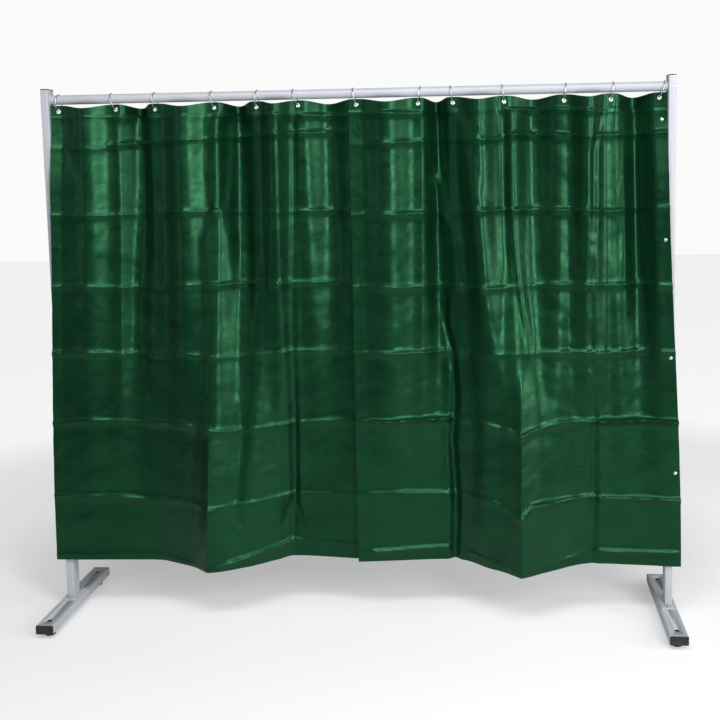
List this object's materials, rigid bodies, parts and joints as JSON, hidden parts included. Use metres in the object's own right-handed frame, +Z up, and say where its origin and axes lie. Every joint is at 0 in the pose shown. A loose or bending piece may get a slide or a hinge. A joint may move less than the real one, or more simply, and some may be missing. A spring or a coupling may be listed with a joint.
{
  "type": "welding curtain screen",
  "caption": "Free-standing welding screen: two posts on flat feet carry a rail, with two green PVC curtains hung on wire rings.",
  "frame": {"origin": "on the floor, midway between the feet and midway along them", "axes": "+X to the right along the rail, +Y to the rear, +Z up; the curtains' front faces -Y"},
  "size_m": [2.1884, 0.5, 1.85],
  "materials": {
    "grey_powder_coat": "satin grey powder coat",
    "zinc_steel": "bright zinc plated",
    "black_plastic": "moulded, fine grain",
    "black_rubber": "matt moulded",
    "green_pvc": "glossy calendered sheet, slightly see-through",
    "nickel_plate": "bright nickel plated"
  },
  "bodies": {
    "frame": {"centre_ring": "zinc_steel", "left_base_bolt_front": "zinc_steel", "left_base_bolt_rear": "zinc_steel", "left_base_plate": "grey_powder_coat", "left_curtain": "green_pvc", "left_eyelet_7": "nickel_plate", "left_foot": "grey_powder_coat", "left_foot_plug_front": "black_plastic", "left_foot_plug_rear": "black_plastic", "left_post": "grey_powder_coat", "left_post_cap": "black_plastic", "left_rail_bolt": "zinc_steel", "left_rail_plug": "black_plastic", "rail": "grey_powder_coat", "right_base_bolt_front": "zinc_steel", "right_base_bolt_rear": "zinc_steel", "right_base_plate": "grey_powder_coat", "right_curtain": "green_pvc", "right_eyelet_7": "nickel_plate", "right_foot": "grey_powder_coat", "right_foot_plug_front": "black_plastic", "right_foot_plug_rear": "black_plastic", "right_post": "grey_powder_coat", "right_post_cap": "black_plastic", "right_rail_bolt": "zinc_steel", "right_rail_plug": "black_plastic", "side_stud_1": "nickel_plate", "side_stud_2": "nickel_plate", "side_stud_3": "nickel_plate", "side_stud_4": "nickel_plate"},
    "left_ring_1": {"left_ring_1": "zinc_steel", "left_eyelet_1": "nickel_plate"},
    "right_ring_1": {"right_ring_1": "zinc_steel", "right_eyelet_1": "nickel_plate"},
    "left_ring_2": {"left_ring_2": "zinc_steel", "left_eyelet_2": "nickel_plate"},
    "right_ring_2": {"right_ring_2": "zinc_steel", "right_eyelet_2": "nickel_plate"},
    "left_ring_3": {"left_ring_3": "zinc_steel", "left_eyelet_3": "nickel_plate"},
    "right_ring_3": {"right_ring_3": "zinc_steel", "right_eyelet_3": "nickel_plate"},
    "left_ring_4": {"left_ring_4": "zinc_steel", "left_eyelet_4": "nickel_plate"},
    "right_ring_4": {"right_ring_4": "zinc_steel", "right_eyelet_4": "nickel_plate"},
    "left_ring_5": {"left_ring_5": "zinc_steel", "left_eyelet_5": "nickel_plate"},
    "right_ring_5": {"right_ring_5": "zinc_steel", "right_eyelet_5": "nickel_plate"},
    "left_ring_6": {"left_ring_6": "zinc_steel", "left_eyelet_6": "nickel_plate"},
    "right_ring_6": {"right_ring_6": "zinc_steel", "right_eyelet_6": "nickel_plate"},
    "left_leveller_front": {"left_leveller_front": "black_rubber"},
    "left_leveller_rear": {"left_leveller_rear": "black_rubber"},
    "right_leveller_front": {"right_leveller_front": "black_rubber"},
    "right_leveller_rear": {"right_leveller_rear": "black_rubber"}
  },
  "joints": [
    {"name": "left_draw", "type": "slide", "parent": "frame", "child": "left_ring_1", "axis": [1, 0, 0], "range_m": [0, 0.6694], "deforming": ["left_curtain"]},
    {"name": "left_follow_2", "type": "slide", "parent": "frame", "child": "left_ring_2", "axis": [1, 0, 0], "range_m": [0, 0.538]},
    {"name": "left_follow_3", "type": "slide", "parent": "frame", "child": "left_ring_3", "axis": [1, 0, 0], "range_m": [0, 0.449]},
    {"name": "left_follow_4", "type": "slide", "parent": "frame", "child": "left_ring_4", "axis": [1, 0, 0], "range_m": [0, 0.3152]},
    {"name": "left_follow_5", "type": "slide", "parent": "frame", "child": "left_ring_5", "axis": [1, 0, 0], "range_m": [0, 0.2214]},
    {"name": "left_follow_6", "type": "slide", "parent": "frame", "child": "left_ring_6", "axis": [1, 0, 0], "range_m": [0, 0.1282]},
    {"name": "right_draw", "type": "slide", "parent": "frame", "child": "right_ring_1", "axis": [-1, 0, 0], "range_m": [0, 0.653], "deforming": ["right_curtain"]},
    {"name": "right_follow_2", "type": "slide", "parent": "frame", "child": "right_ring_2", "axis": [-1, 0, 0], "range_m": [0, 0.5502]},
    {"name": "right_follow_3", "type": "slide", "parent": "frame", "child": "right_ring_3", "axis": [-1, 0, 0], "range_m": [0, 0.4506]},
    {"name": "right_follow_4", "type": "slide", "parent": "frame", "child": "right_ring_4", "axis": [-1, 0, 0], "range_m": [0, 0.3219]},
    {"name": "right_follow_5", "type": "slide", "parent": "frame", "child": "right_ring_5", "axis": [-1, 0, 0], "range_m": [0, 0.2113]},
    {"name": "right_follow_6", "type": "slide", "parent": "frame", "child": "right_ring_6", "axis": [-1, 0, 0], "range_m": [0, 0.1356]},
    {"name": "left_leveller_front_screw", "type": "slide", "parent": "frame", "child": "left_leveller_front", "axis": [0, 0, -1], "range_m": [0, 0.012]},
    {"name": "left_leveller_rear_screw", "type": "slide", "parent": "frame", "child": "left_leveller_rear", "axis": [0, 0, -1], "range_m": [0, 0.012]},
    {"name": "right_leveller_front_screw", "type": "slide", "parent": "frame", "child": "right_leveller_front", "axis": [0, 0, -1], "range_m": [0, 0.012]},
    {"name": "right_leveller_rear_screw", "type": "slide", "parent": "frame", "child": "right_leveller_rear", "axis": [0, 0, -1], "range_m": [0, 0.012]}
  ],
  "couplings": [
    {"joint": "left_follow_2", "follows": "left_draw", "ratio": 0.80359},
    {"joint": "left_follow_3", "follows": "left_draw", "ratio": 0.67061},
    {"joint": "left_follow_4", "follows": "left_draw", "ratio": 0.47077},
    {"joint": "left_follow_5", "follows": "left_draw", "ratio": 0.33064},
    {"joint": "left_follow_6", "follows": "left_draw", "ratio": 0.19144},
    {"joint": "right_follow_2", "follows": "right_draw", "ratio": 0.84239},
    {"joint": "right_follow_3", "follows": "right_draw", "ratio": 0.68993},
    {"joint": "right_follow_4", "follows": "right_draw", "ratio": 0.49278},
    {"joint": "right_follow_5", "follows": "right_draw", "ratio": 0.32348},
    {"joint": "right_follow_6", "follows": "right_draw", "ratio": 0.20747}
  ]
}
